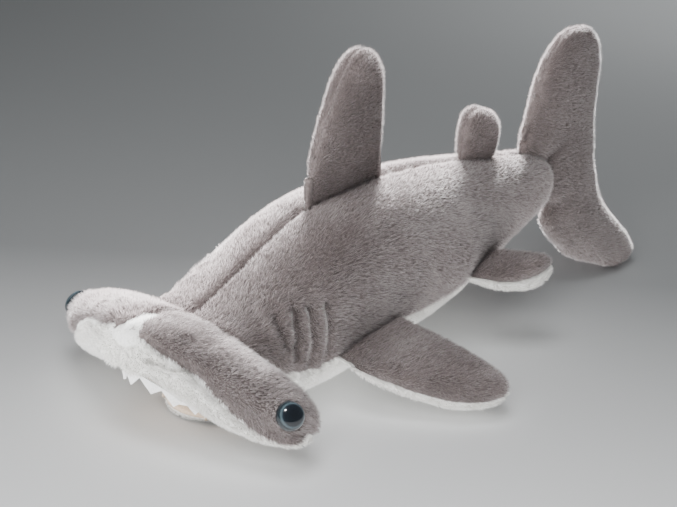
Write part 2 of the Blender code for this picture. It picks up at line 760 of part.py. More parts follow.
def make_teeth(name, base, down, out, count, finish):
    """A strip of felt cut into points: base, down and out are functions of -1 to 1."""
    columns = 2 * count
    front, back = [[], []], [[], []]
    for j in range(columns + 1):
        t = -1.0 + 2.0 * j / columns
        reach = TOOTH_LENGTH if j % 2 else TOOTH_HEM
        foot, along_tooth, facing = base(t), down(t), out(t)
        for row, distance in ((0, 0.0), (1, reach)):
            p = foot + along_tooth * distance
            front[row].append(p + facing * 0.5 * TOOTH_CLOTH)
            back[row].append(p - facing * 0.5 * TOOTH_CLOTH)
    return skin(name, front, back, finish)


def arc_facing(point, t):
    """The level direction across an arc of teeth, outwards."""
    step = 0.02
    before, after = point(max(t - step, -1.0)), point(min(t + step, 1.0))
    run = Vector((after[0] - before[0], after[1] - before[1], 0.0)).normalized()
    return Vector((run.y, -run.x, 0.0))


def make_upper_mouth(lining, felt):
    def foot(t):
        x, y = gum_point(t)
        return Vector((x, y, mouth_roof(x, y) - GUM_DROP))

    make_teeth("upper_teeth", foot, lambda t: Vector((0.0, 0.0, -1.0)),
               lambda t: arc_facing(gum_point, t), UPPER_TEETH, felt)
    rows, columns = 10, 12
    outer, inner = [], []
    for i in range(rows + 1):
        upper, lower = [], []
        for j in range(columns + 1):
            t = PALATE_SPREAD * (2 * j / columns - 1)
            x, y = gum_point(t)
            front = y + 1.5 * TOOTH_CLOTH + 2 * SEAM_GAP
            y = front + (PALATE_BACK - front) * i / rows
            x *= PALATE_NARROW
            z = mouth_roof(x, y) - PALATE_DROP
            upper.append(Vector((x, y, z)))
            lower.append(Vector((x, y, z - LINING)))
        outer.append(lower)
        inner.append(upper)
    skin("palate_lining", outer, inner, lining)


def body_under(x, y):
    """Height of the body's under side, well above it where the body has not begun."""
    half_width, middle, half_height = body_size(body_share(y), 0.0)
    sine = min(abs(x) / half_width, 0.999)
    cosine = (1.0 - sine ** (2 / BODY_FULLNESS)) ** (BODY_FULLNESS / 2)
    return middle - half_height * cosine


def mouth_roof(x, y):
    """Height of the plush over the mouth, whichever of head and body hangs lower."""
    return min(head_under(x, y), body_under(x, y))


def make_jaw(plush_white, lining, felt, fill):
    hinge_z = body_under(0.0, JAW_HINGE_BACK) - JAW_HINGE_DROP
    hinge = Vector((0.0, JAW_HINGE_BACK, hinge_z))
    droop = math.radians(JAW_DROOP)
    reach = Vector((0.0, -math.cos(droop), -math.sin(droop)))
    root = hinge + Vector((-0.5 * JAW_WIDTH, 0.0, 0.0))
    jaw = Fin(root, (1, 0, 0), reach, JAW_OUTLINE, JAW_WIDTH, JAW_LENGTH, JAW_THICKNESS,
              JAW_ROOT_RADIUS)
    if jaw.up.z < 0:
        jaw.up = -jaw.up
    made = [
        skin("jaw_lining", jaw.grid(0.0, True), jaw.grid(LINING, True), lining),
        skin("jaw_cover", jaw.grid(0.0, False), jaw.grid(PLUSH, False), plush_white),
        solid("jaw_stuffing", jaw.rings(PLUSH + FILL_GAP), fill),
    ]

    def rim(t):
        share = LOWER_TEETH_BACK + LOWER_TEETH_RUN * math.cos(0.5 * math.pi * t)
        lead = JAW_WIDTH * along(JAW_OUTLINE, share, 1)
        trail = JAW_WIDTH * along(JAW_OUTLINE, share, 2)
        half = 0.5 * (trail - lead) * LOWER_TEETH_WIDTH
        x = half * math.sin(0.5 * math.pi * t)
        return x, -share * JAW_LENGTH

    def foot(t):
        x, y = rim(t)
        p = hinge + reach * (-y) + Vector((x, 0.0, 0.0))
        return p + jaw.up * (0.5 * JAW_THICKNESS * LOWER_TEETH_SEAT + 2 * SEAM_GAP)

    lean = math.radians(LOWER_TEETH_LEAN)
    upwards = jaw.up * math.cos(lean) + reach * math.sin(lean)
    made.append(make_teeth("lower_teeth", foot, lambda t: upwards,
                           lambda t: arc_facing(rim, t), LOWER_TEETH, felt))
    for piece in made:
        move_origin(piece, hinge)


# ---------------------------------------------------------------- the whole toy

def place_toy():
    """Hangs every piece from one empty that sets the toy on the floor."""
    toy = bpy.data.objects.new("toy", None)
    bpy.context.scene.collection.objects.link(toy)
    slope, start = rest_line()
    pitch = -math.atan(slope)
    tip = Matrix.Rotation(pitch, 4, "X") @ Matrix.Translation((0.0, 0.0, -start))
    ends = []
    for made in bpy.context.scene.objects:
        if made.type != "MESH":
            continue
        made.parent = toy
        if not made.hide_render:
            ends += [(tip @ made.matrix_basis @ v.co).y for v in made.data.vertices]
    middle = Matrix.Translation((0.0, -0.5 * (min(ends) + max(ends)), 0.0))
    toy.matrix_world = middle @ tip


def main():
    for old in list(bpy.data.objects):
        bpy.data.objects.remove(old)

    plush_grey = material("grey_plush", (0.26, 0.225, 0.22), 0.95)
    plush_white = material("white_plush", (0.80, 0.81, 0.77), 0.95)
    fill = material("fibre_stuffing", (0.85, 0.85, 0.85), 1.0)
    lining = material("beige_cloth", (0.60, 0.47, 0.37), 0.85)
    felt = material("white_felt", (0.84, 0.84, 0.86), 0.8)
    eye_plastic = material("eye_plastic", (0.03, 0.045, 0.06), 0.12)
    lock_plastic = material("lock_plastic", (0.80, 0.80, 0.78), 0.45)

    body = make_body(plush_grey, plush_white, fill)
    head = make_head(plush_grey, plush_white, fill)
    join_neck(body, head)
    make_eyes(head, eye_plastic, lock_plastic)

    make_back_fin("dorsal_fin", DORSAL_FRONT, DORSAL_BASE, DORSAL_HEIGHT, DORSAL_THICKNESS,
                  DORSAL_OUTLINE, (plush_grey, plush_grey, fill))
    make_back_fin("second_fin", SECOND_FRONT, SECOND_BASE, SECOND_HEIGHT, SECOND_THICKNESS,
                  SECOND_OUTLINE, (plush_grey, plush_grey, fill))
    make_tail((plush_grey, plush_grey, fill))
    for side, hand in ((1, "left"), (-1, "right")):
        make_side_fin("pectoral_" + hand, side, PECTORAL_FRONT, PECTORAL_ROOT, PECTORAL_SPAN,
                      PECTORAL_THICKNESS, PECTORAL_ANGLE, PECTORAL_DROOP, PECTORAL_RAKE,
                      PECTORAL_OUTLINE, (plush_grey, plush_white, fill))
        make_side_fin("pelvic_" + hand, side, PELVIC_FRONT, PELVIC_ROOT, PELVIC_SPAN,
                      PELVIC_THICKNESS, PELVIC_ANGLE, PELVIC_DROOP, PELVIC_RAKE,
                      PELVIC_OUTLINE, (plush_grey, plush_white, fill))
    make_upper_mouth(lining, felt)
    make_jaw(plush_white, lining, felt, fill)
    place_toy()


main()
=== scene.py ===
"""Plush hammerhead shark: its cut pile skins, felt teeth, eyes and fillings.

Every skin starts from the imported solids: they are wrapped in one shell per stuffed bag, blown
up a little with cloth simulation, drawn in along the seams and cut back into the panels that
are sewn together. Each panel then grows its own pile. Metres, +Z up, nose towards -Y.
"""

import json
import math

import bmesh
import bpy
import numpy as np
from mathutils import Matrix, Vector
from mathutils.bvhtree import BVHTree
from mathutils.kdtree import KDTree


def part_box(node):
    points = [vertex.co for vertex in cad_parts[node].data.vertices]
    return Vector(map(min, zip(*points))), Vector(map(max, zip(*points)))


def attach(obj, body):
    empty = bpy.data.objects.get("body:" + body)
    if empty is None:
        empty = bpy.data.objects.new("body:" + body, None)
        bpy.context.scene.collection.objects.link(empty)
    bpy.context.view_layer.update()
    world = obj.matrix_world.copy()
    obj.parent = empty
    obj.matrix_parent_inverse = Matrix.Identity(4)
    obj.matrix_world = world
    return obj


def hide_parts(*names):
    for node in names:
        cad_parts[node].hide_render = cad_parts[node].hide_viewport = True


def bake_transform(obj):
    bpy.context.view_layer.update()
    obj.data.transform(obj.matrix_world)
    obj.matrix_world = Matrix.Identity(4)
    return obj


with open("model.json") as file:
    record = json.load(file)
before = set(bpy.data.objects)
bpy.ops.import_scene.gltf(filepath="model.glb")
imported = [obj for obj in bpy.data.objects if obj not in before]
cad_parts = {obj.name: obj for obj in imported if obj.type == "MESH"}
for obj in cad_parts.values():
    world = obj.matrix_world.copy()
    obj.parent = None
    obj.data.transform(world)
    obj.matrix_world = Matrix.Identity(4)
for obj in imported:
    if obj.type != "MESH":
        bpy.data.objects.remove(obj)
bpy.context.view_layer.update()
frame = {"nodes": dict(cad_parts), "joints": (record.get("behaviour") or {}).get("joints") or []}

MM = 0.001
JOINTS = {joint["name"]: joint for joint in frame["joints"]}

# ---------------------------------------------------------------- where things are

# the shark's own upright is the axis of its tail joint: it lies a little nose down
UPRIGHT = Vector(JOINTS["tail_bend"]["axis"]).normalized()
LEFTWARD = Vector((1.0, 0.0, 0.0))
TAILWARD = UPRIGHT.cross(LEFTWARD).normalized()

# ---------------------------------------------------------------- pile, in metres

FIBRES_PER_M2 = 2.3e6
MOST_FIBRES = 49000           # in one piece
FIBRE_WIDTH = 0.34 * MM       # a lock of some ten fibres, as fine as a view of the toy can show
GREY_PILE = 3.7 * MM
WHITE_PILE = 3.0 * MM
LEAN = 50.0                   # degrees the pile lies over from upright
BACKING_DEPTH = 2.1 * MM      # the cloth lies this far inside the pile's outer face

# how light the pile is, from the darkest of its dyed tints (0) to the lightest (1)
BODY_TONE = 0.52
# painted shade: the fins are the body's grey cloth, given lower tones because their faces stand in shade
PAIRED_FIN_PAINTED_SHADE_TONE = 0.42
UPRIGHT_FIN_PAINTED_SHADE_TONE = 0.24
SEAM_PAINTED_SHADE = 0.22             # painted shade: the pile is coloured darker towards a seam, where it lies deeper in the groove
# the same painted seam shade, stronger on the head's top panels
HEAD_SEAM_PAINTED_SHADE = 0.45
# painted shade along the creases of the folds
CREASE_PAINTED_SHADE = 0.45
SEAM_PAINTED_SHADE_WIDTH = 6 * MM
CREASE_PAINTED_SHADE_WIDTH = 1.8 * MM


# ---------------------------------------------------------------- small tools

def smooth_step(t):
    t = np.clip(t, 0.0, 1.0)
    return t * t * (3 - 2 * t)


DRIFT_CELLS = 24


def drift(points, size, seed):
    """Smooth random values from -1 to 1 that change over about `size` metres."""
    grid = np.random.default_rng(seed).uniform(-1, 1, (DRIFT_CELLS,) * 3)
    p = points / size + 100.0
    low = np.floor(p).astype(int)
    t = smooth_step(p - low)
    total = np.zeros(len(points))
    for corner in np.ndindex(2, 2, 2):
        c = np.array(corner)
        i = (low + c) % DRIFT_CELLS
        total += np.prod(np.where(c, t, 1 - t), axis=1) * grid[i[:, 0], i[:, 1], i[:, 2]]
    return total


def unit(vectors):
    return vectors / np.maximum(np.linalg.norm(vectors, axis=1, keepdims=True), 1e-12)


def mesh_of(name, points, faces):
    """A mesh from an array of points and an array of faces that have as many corners."""
    mesh = bpy.data.meshes.new(name)
    corners = faces.shape[1]
    mesh.vertices.add(len(points))
    mesh.vertices.foreach_set("co", np.asarray(points, np.float32).ravel())
    mesh.loops.add(faces.size)
    mesh.loops.foreach_set("vertex_index", np.asarray(faces, np.int32).ravel())
    mesh.polygons.add(len(faces))
    mesh.polygons.foreach_set("loop_start", np.arange(len(faces), dtype=np.int32) * corners)
    mesh.update(calc_edges=True)
    mesh.validate()
    mesh.shade_smooth()
    return mesh


def piece(name, mesh, *finishes):
    made = bpy.data.objects.new(name, mesh)
    bpy.context.scene.collection.objects.link(made)
    for finish in finishes:
        mesh.materials.append(finish)
    return made


def arrays(mesh):
    """A mesh's points and its faces, which all have as many corners."""
    points = np.zeros(len(mesh.vertices) * 3)
    mesh.vertices.foreach_get("co", points)
    corners = np.zeros(len(mesh.loops), np.int32)
    mesh.loops.foreach_get("vertex_index", corners)
    return points.reshape(-1, 3), corners.reshape(len(mesh.polygons), -1)


def face_normals(points, quads):
    a, b, c, d = (points[quads[:, k]] for k in range(4))
    return unit(np.cross(c - a, d - b))


def point_normals(points, quads):
    flat = face_normals(points, quads)
    total = np.zeros_like(points)
    for k in range(4):
        for axis in range(3):
            total[:, axis] += np.bincount(quads[:, k], flat[:, axis], len(points))
    return unit(total)


def bake_modifiers(made):
    """Makes the object's mesh what its modifiers show."""
    graph = bpy.context.evaluated_depsgraph_get()
    mesh = bpy.data.meshes.new_from_object(made.evaluated_get(graph))
    made.modifiers.clear()
    old = made.data
    made.data = mesh
    bpy.data.meshes.remove(old)
    return made


def eye_places():
    """Each eye's centre and outward axis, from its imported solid."""
    places = {}
    for hand in ("left", "right"):
        points, _ = arrays(frame["nodes"]["eye_" + hand].data)
        middle = points.mean(0)
        values, vectors = np.linalg.eigh(np.cov((points - middle).T))
        gaps = [abs(values[k] - values[(k + 1) % 3]) + abs(values[k] - values[(k + 2) % 3]) for k in range(3)]
        axis = vectors[:, int(np.argmax(gaps))]
        if axis[0] * middle[0] < 0:
            axis = -axis
        along = (points - middle) @ axis
        around = np.linalg.norm((points - middle) - along[:, None] * axis, axis=1)
        rim = along[around > around.max() - 0.1 * MM]
        places[hand] = (middle + axis * rim.min(), axis)
    return places


EYES = eye_places()


# ---------------------------------------------------------------- shells

def wrap(name, nodes, voxel, smoothing):
    """One closed skin round the solids of a stuffed bag."""
    b = bmesh.new()
    for node in nodes:
        b.from_mesh(frame["nodes"][node].data)
    mesh = bpy.data.meshes.new(name)
    b.to_mesh(mesh)
    b.free()
    made = piece(name, mesh)
    made.data.materials.clear()
    remesh = made.modifiers.new("voxels", "REMESH")
    remesh.mode = "VOXEL"
    remesh.voxel_size = voxel
    smooth = made.modifiers.new("smooth", "SMOOTH")
    smooth.factor = 0.5
    smooth.iterations = smoothing
    return bake_modifiers(made)


def distance_to(points, node):
    """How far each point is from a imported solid's surface."""
    mesh = frame["nodes"][node].data
    mesh.calc_loop_triangles()
    corners = np.zeros(len(mesh.loop_triangles) * 3, np.int32)
    mesh.loop_triangles.foreach_get("vertices", corners)
    tree = BVHTree.FromPolygons([v.co for v in mesh.vertices], corners.reshape(-1, 3).tolist())
    return np.array([tree.find_nearest(Vector(p))[3] for p in points])


def panel_distances(points, panels):
    return np.stack([distance_to(points, node) for node in panels], 1)


def mouth_distance(points):
    """How far each point is from the cloth and felt that are sewn into the mouth."""
    return panel_distances(points, ("upper_teeth", "palate_lining", "jaw_lining")).min(1)


CLOTH_STEPS = 20


def stuff(shell, held, pressure, most):
    """Blows the shell up with cloth simulation; held says which points are sewn fast."""
    before, _ = arrays(shell.data)
    group = shell.vertex_groups.new(name="sewn")
    for index in np.nonzero(held > 0.02)[0]:
        group.add([int(index)], float(held[index]), "REPLACE")
    cloth = shell.modifiers.new("stuffing", "CLOTH")
    settings = cloth.settings
    settings.quality = 4
    settings.mass = 0.2
    settings.tension_stiffness = 12
    settings.compression_stiffness = 12
    settings.bending_stiffness = 0.4
    settings.use_pressure = True
    settings.uniform_pressure_force = pressure
    settings.vertex_group_mass = "sewn"
    settings.effector_weights.gravity = 0
    cloth.collision_settings.use_collision = False
    scene = bpy.context.scene
    for step in range(1, CLOTH_STEPS + 1):
        scene.frame_set(step)
    graph = bpy.context.evaluated_depsgraph_get()
    after, _ = arrays(shell.evaluated_get(graph).data)
    scene.frame_set(1)
    shell.modifiers.remove(cloth)
    moved = after - before
    length = np.linalg.norm(moved, axis=1, keepdims=True)
    moved *= np.minimum(1.0, most / np.maximum(length, 1e-9))
    shell.data.vertices.foreach_set("co", (before + moved).astype(np.float32).ravel())
    shell.data.update()


def refine(shell, levels):
    finer = shell.modifiers.new("finer", "SUBSURF")
    finer.levels = levels
    finer.render_levels = levels
    return bake_modifiers(shell)


# ---------------------------------------------------------------- seams

def seam_edges(quads, labels):
    """Edges between faces of different panels, as point pairs, with the two labels."""
    starts = quads.ravel()
    ends = np.roll(quads, -1, axis=1).ravel()
    owner = np.repeat(np.arange(len(quads)), 4)
    low, high = np.minimum(starts, ends), np.maximum(starts, ends)
    order = np.lexsort((high, low))
    low, high, owner = low[order], high[order], owner[order]
    same = (low[1:] == low[:-1]) & (high[1:] == high[:-1])
    first, second = owner[:-1][same], owner[1:][same]
    apart = labels[first] != labels[second]
    pairs = np.stack([low[:-1][same], high[:-1][same]], 1)[apart]
    return pairs, np.sort(np.stack([labels[first], labels[second]], 1)[apart], axis=1)


def straighten(points, pairs, times=8):
    """Takes the steps out of the seams' lines."""
    for _ in range(times):
        total = np.zeros_like(points)
        count = np.zeros(len(points))
        for a, b in ((0, 1), (1, 0)):
            np.add.at(total, pairs[:, a], points[pairs[:, b]])
            np.add.at(count, pairs[:, a], 1)
        line = np.nonzero(count == 2)[0]
        points[line] = 0.5 * points[line] + 0.25 * total[line]
    return points


LOBE_TIP = 72 * MM            # from the middle: past here the seam round the lobe lies shallower
LOBE_TIP_FADE = 10 * MM
LOBE_TIP_SHALLOWER = 0.7


def draw_in(points, quads, labels, depth_of, width, seed):
    """Pulls the cloth in along the seams, with small puckers that run away from them.

    Returns the points and how far each one is from its nearest seam.
    """
    pairs, sides = seam_edges(quads, labels)
    points = straighten(points, pairs)
    on_seam = np.unique(pairs)
    depth = np.zeros(len(points))
    for (low, high), deep in depth_of.items():
        here = (sides[:, 0] == low) & (sides[:, 1] == high)
        depth[pairs[here].ravel()] = deep
    tree = KDTree(len(on_seam))
    for number, index in enumerate(on_seam):
        tree.insert(points[index], number)
    tree.balance()
    found = [tree.find(p) for p in points]
    away = np.array([f[2] for f in found])
    nearest = on_seam[[f[1] for f in found]]
    deep = depth[nearest]
    uneven = 1.0 + 0.35 * drift(points[nearest], 7 * MM, seed)
    past_tip = smooth_step((np.abs(points[:, 0]) - LOBE_TIP) / LOBE_TIP_FADE)
    deep = deep * (1.0 - LOBE_TIP_SHALLOWER * past_tip)
    groove = deep * uneven * np.exp(-((away / width) ** 2))
    pucker = 0.30 * deep * drift(points[nearest], 3.2 * MM, seed + 1) * np.exp(-away / (3.5 * width))
    return points - point_normals(points, quads) * (groove + pucker)[:, None], away


creases = []                  # paths of the folds that have a ridge, where the pile is coloured darker as painted shade in the crease


def fold(points, normals, path, depth, width, ridge=0.0, side=None):
    """A crease along a path laid onto the cloth, with a ridge beside it on the side given."""
    path = [np.array(start) + (np.array(end) - np.array(start)) * t
            for start, end in zip(path[:-1], path[1:]) for t in (0.0, 0.33, 0.67, 1.0)]
    path = np.array([points[np.argmin(np.linalg.norm(points - spot, axis=1))] for spot in path])
    if ridge:
        creases.append(path)
    best = np.full(len(points), 1e9)
    across = np.zeros(len(points))
    for start, end in zip(path[:-1], path[1:]):
        run = end - start
        t = np.clip(((points - start) @ run) / max(run @ run, 1e-12), 0, 1)
        offset = points - (start + t[:, None] * run)
        away = np.linalg.norm(offset, axis=1)
        closer = away < best
        best = np.where(closer, away, best)
        if side is not None:
            across = np.where(closer, offset @ np.array(side), across)
    move = -depth * np.exp(-((best / width) ** 2))
    if ridge:
        near_end = np.minimum(np.linalg.norm(points - path[0], axis=1),
                              np.linalg.norm(points - path[-1], axis=1))
        fade = smooth_step(near_end / (3 * width))
        move += ridge * fade * np.exp(-(((across - 2.1 * width) / (1.3 * width)) ** 2)) * (best < 6 * width)
    return points + normals * move[:, None]


def both_sides(path):
    """A path in millimetres on the left flank, in metres, and its mirror on the right."""
    left = [[x * MM, y * MM, z * MM] for x, y, z in path]
    return left, [[-x, y, z] for x, y, z in left]


# ---------------------------------------------------------------- materials

def linear(hex_colour):
    """A colour from its sRGB hex value."""
    values = [int(hex_colour[k:k + 2], 16) / 255 for k in (1, 3, 5)]
    shades = [v / 12.92 if v <= 0.04045 else ((v + 0.055) / 1.055) ** 2.4 for v in values]
    return (*shades, 1.0)


def add_node(tree, kind, settings=None, **links):
    """Adds a node; a setting or a link that names an input goes to that input."""
    node = tree.nodes.new(kind)
    for key, value in (settings or {}).items():
        if key in node.inputs:
            node.inputs[key].default_value = value
        else:
            setattr(node, key, value)
    for key, source in links.items():
        tree.links.new(source, node.inputs[key.replace("_", " ")])
    return node


def new_material(name, colour, **settings):
    made = bpy.data.materials.new(name)
    made.use_nodes = True
    shader = made.node_tree.nodes["Principled BSDF"]
    shader.inputs["Base Color"].default_value = linear(colour)
    for key, value in settings.items():
        shader.inputs[key.replace("_", " ")].default_value = value
    return made, made.node_tree, shader


def dyed_pile(name, colour):
    """Cut polyester pile: matt along the fibre, with the soft bright edge that fibre ends give."""
    made, _, _ = new_material(name, colour, Roughness=0.72, Sheen_Weight=0.35, Sheen_Roughness=0.45,
                              Specular_IOR_Level=0.25)
    return made


def knitted_backing(name, light, dark, bump_size):
    """The knit that the pile stands in, dark between the locks, with a 1 mm loop."""
    made, tree, shader = new_material(name, light, Roughness=0.9, Sheen_Weight=0.3, Sheen_Roughness=0.6)
    place = add_node(tree, "ShaderNodeTexCoord")
    loops = add_node(tree, "ShaderNodeTexNoise", {"Scale": 1 / bump_size, "Detail": 3.0},
                     Vector=place.outputs["Object"])
    patches = add_node(tree, "ShaderNodeTexNoise", {"Scale": 60.0, "Detail": 2.0},
                       Vector=place.outputs["Object"])
    both = add_node(tree, "ShaderNodeMath", {"operation": "MULTIPLY"})
    tree.links.new(loops.outputs["Fac"], both.inputs[0])
    tree.links.new(patches.outputs["Fac"], both.inputs[1])
    shades = add_node(tree, "ShaderNodeValToRGB", Fac=both.outputs["Value"])
    shades.color_ramp.elements[0].position = 0.12
    shades.color_ramp.elements[0].color = linear(dark)
    shades.color_ramp.elements[1].position = 0.42
    shades.color_ramp.elements[1].color = linear(light)
    tree.links.new(shades.outputs["Color"], shader.inputs["Base Color"])
    bump = add_node(tree, "ShaderNodeBump", {"Strength": 0.5, "Distance": 0.0006},
                    Height=loops.outputs["Fac"])
    tree.links.new(bump.outputs["Normal"], shader.inputs["Normal"])
    return made


def matted_fibre(name, light, dark, grain, roughness, sheen):
    """Felt or napped cloth: short fibres that cross each other, a fine uneven grain."""
    made, tree, shader = new_material(name, light, Roughness=roughness, Sheen_Weight=sheen,
                                      Sheen_Roughness=0.5)
    place = add_node(tree, "ShaderNodeTexCoord")
    fibres = add_node(tree, "ShaderNodeTexNoise", {"Scale": 1 / grain, "Detail": 5.0, "Distortion": 1.4},
                      Vector=place.outputs["Object"])
    shades = add_node(tree, "ShaderNodeValToRGB", Fac=fibres.outputs["Fac"])
    shades.color_ramp.elements[0].position = 0.32
    shades.color_ramp.elements[0].color = linear(dark)
    shades.color_ramp.elements[1].position = 0.60
    shades.color_ramp.elements[1].color = linear(light)
    tree.links.new(shades.outputs["Color"], shader.inputs["Base Color"])
    bump = add_node(tree, "ShaderNodeBump", {"Strength": 0.6, "Distance": 0.0003},
                    Height=fibres.outputs["Fac"])
    tree.links.new(bump.outputs["Normal"], shader.inputs["Normal"])
    return made


def painted_eye(name):
    """Acrylic eye, painted from behind: a near black pupil, a pale ring and a dark teal rim,
    all under a polished dome. The colours follow the distance from the eye's own axis."""
    made, tree, shader = new_material(name, "#20262c", Roughness=0.16, Coat_Weight=1.0,
                                      Coat_Roughness=0.02, IOR=1.49)
    place = add_node(tree, "ShaderNodeTexCoord")
    level = add_node(tree, "ShaderNodeVectorMath", {"operation": "MULTIPLY"})
    level.inputs[1].default_value = (1.0, 1.0, 0.0)
    tree.links.new(place.outputs["Object"], level.inputs[0])
    radius = add_node(tree, "ShaderNodeVectorMath", {"operation": "LENGTH"})
    tree.links.new(level.outputs["Vector"], radius.inputs[0])
    streaks = add_node(tree, "ShaderNodeTexNoise", {"Scale": 900.0, "Detail": 2.0},
                       Vector=place.outputs["Object"])
    wander = add_node(tree, "ShaderNodeMath", {"operation": "MULTIPLY_ADD"})
    wander.inputs[1].default_value = 0.0005
    tree.links.new(streaks.outputs["Fac"], wander.inputs[0])
    tree.links.new(radius.outputs["Value"], wander.inputs[2])
    share = add_node(tree, "ShaderNodeMath", {"operation": "DIVIDE"})
    share.inputs[1].default_value = 0.5 * EYE_DIAMETER
    tree.links.new(wander.outputs["Value"], share.inputs[0])
    rings = add_node(tree, "ShaderNodeValToRGB", Fac=share.outputs["Value"])
    stops = ((0.0, "#0d1116"), (0.66, "#10161c"), (0.73, "#182026"), (0.78, "#313d43"),
             (0.83, "#434e53"), (0.88, "#2b363b"), (0.92, "#151e23"), (1.0, "#11191d"))
    ramp = rings.color_ramp
    while len(ramp.elements) < len(stops):
        ramp.elements.new(0.5)
    for element, (position, colour) in zip(ramp.elements, stops):
        element.position = position
        element.color = linear(colour)
    tree.links.new(rings.outputs["Color"], shader.inputs["Base Color"])
    return made


EYE_DIAMETER = 15 * MM

grey_tints = [dyed_pile("grey_pile_%d" % k, colour) for k, colour in enumerate(
    ("#7c706f", "#8d8180", "#9e9392", "#aea4a3", "#beb5b4"))]
white_tints = [dyed_pile("white_pile_%d" % k, colour) for k, colour in enumerate(
    ("#eceae6", "#f3f2ee", "#f9f8f5"))]
grey_knit = knitted_backing("grey_knit", "#7d7270", "#574e4c", 1.1 * MM)
white_knit = knitted_backing("white_knit", "#f2f1ee", "#dcdad5", 1.1 * MM)
felt = matted_fibre("white_felt", "#f4f4f4", "#dcdcdc", 0.7 * MM, 0.85, 0.25)
beige_nap = matted_fibre("beige_nap", "#cdbba8", "#ae9780", 0.9 * MM, 0.8, 0.4)
filling = matted_fibre("polyester_filling", "#f4f4f2", "#d8d8d4", 2.0 * MM, 0.95, 0.3)
lock_plastic = matted_fibre("moulded_polyethylene", "#e6e6e0", "#dcdcd6", 3.0 * MM, 0.45, 0.0)
eye_acrylic = painted_eye("painted_acrylic")


# ---------------------------------------------------------------- pile

def comb_tailward(points, normals):
    """The pile of the body lies towards the tail and a little down."""
    down = np.where(points[:, 2:3] > 0, -0.35, 0.0)
    return np.array(TAILWARD)[None, :] + down * np.array(UPRIGHT)[None, :]


def comb_outward(points, normals):
    """The pile of the head lies from its middle out along the lobes."""
    side = np.tanh(points[:, :1] / (18 * MM))
    return side * np.array(LEFTWARD) + 0.55 * np.array(TAILWARD) - 0.45 * np.array(UPRIGHT)


def comb_along(direction, back=0.5):
    run = np.array(direction)[None, :] + back * np.array(TAILWARD)[None, :]
    return lambda points, normals: np.repeat(run, len(points), axis=0)


def grow_pile(name, body, patch, tints, length, comb, seed, bare=None, tone=BODY_TONE,
              seam_painted_shade=SEAM_PAINTED_SHADE):
    """Thin tapering locks over a panel, leaning the way it is combed."""
    points, quads, normals, away, trim = patch
    rng = np.random.default_rng(seed)
    triangles = np.concatenate([quads[:, [0, 1, 2]], quads[:, [0, 2, 3]]])
    corners = points[triangles]
    edge_a, edge_b = corners[:, 1] - corners[:, 0], corners[:, 2] - corners[:, 0]
    areas = 0.5 * np.linalg.norm(np.cross(edge_a, edge_b), axis=1)
    count = int(min(areas.sum() * FIBRES_PER_M2, MOST_FIBRES))
    chosen = rng.choice(len(triangles), count, p=areas / areas.sum())
    first = np.sqrt(rng.random(count))
    second = rng.random(count)
    share = np.stack([1 - first, first * (1 - second), first * second], 1)
    spot = triangles[chosen]
    root = (points[spot] * share[:, :, None]).sum(1)
    normal = unit((normals[spot] * share[:, :, None]).sum(1))
    seam = (away[spot] * share).sum(1)
    sheared = (trim[spot] * share).sum(1)
    keep = sheared > 0.15
    if bare is not None:
        keep &= np.all([np.linalg.norm(root - centre, axis=1) > radius for centre, radius in bare], axis=0)
    root, normal, seam, sheared = root[keep], normal[keep], seam[keep], sheared[keep]
    count = len(root)

    lie = comb(root, normal)
    lie = unit(lie - normal * (lie * normal).sum(1, keepdims=True))
    across = np.cross(normal, lie)
    turn = (0.50 * drift(root, 24 * MM, seed + 1) + 0.30 * drift(root, 5 * MM, seed + 2)
            + rng.normal(0, 0.24, count))
    lie = unit(lie * np.cos(turn)[:, None] + across * np.sin(turn)[:, None])
    lean = np.radians(LEAN + 7 * drift(root, 4 * MM, seed + 3) + 13 * drift(root, 26 * MM, seed + 4)
                      + rng.normal(0, 8, count))
    short = 1.0 - 0.45 * np.exp(-((seam / (1.6 * MM)) ** 2))
    reach = length * short * sheared * rng.uniform(0.72, 1.08, count)
    grow = normal * np.cos(lean)[:, None] + lie * np.sin(lean)[:, None]
    side = unit(np.cross(grow, normal))
    thick = np.cross(side, grow)
    tip = root + grow * reach[:, None]
    foot = root - normal * (0.3 * MM)
    corners = []
    for angle in (0.0, 2.1, 4.2):
        corners.append(foot + FIBRE_WIDTH * 0.5 * (side * math.cos(angle) + thick * math.sin(angle)))
    corners.append(tip)
    lock = np.stack(corners, 1).reshape(-1, 3)
    faces = np.array([[0, 1, 3], [1, 2, 3], [2, 0, 3], [2, 1, 0]])[None] + 4 * np.arange(count)[:, None, None]
    faces = faces.reshape(-1, 3)
    mesh = mesh_of(name, lock, faces)
    made = piece(name, mesh, *tints)
    # the tone wanders at random; painted shade darkens it towards the seams
    tone = (tone + 0.26 * drift(root, 30 * MM, seed + 5) + 0.10 * drift(root, 7 * MM, seed + 6)
            - seam_painted_shade * np.exp(-((seam / SEAM_PAINTED_SHADE_WIDTH) ** 2)) + rng.normal(0, 0.13, count))
    # painted shade: on the trunk the pile is coloured darker along the creases
    for path in creases if body == "root" else ():
        steps = np.concatenate([path[:-1] + (path[1:] - path[:-1]) * t for t in (0.0, 0.25, 0.5, 0.75)])
        gap = np.min([np.linalg.norm(root - step, axis=1) for step in steps], axis=0)
        tone -= CREASE_PAINTED_SHADE * np.exp(-((gap / CREASE_PAINTED_SHADE_WIDTH) ** 2))
    pick = np.clip((tone * len(tints)).astype(int), 0, len(tints) - 1)
    mesh.polygons.foreach_set("material_index", np.repeat(pick, 4).astype(np.int32))
    return made


# ---------------------------------------------------------------- a stuffed bag

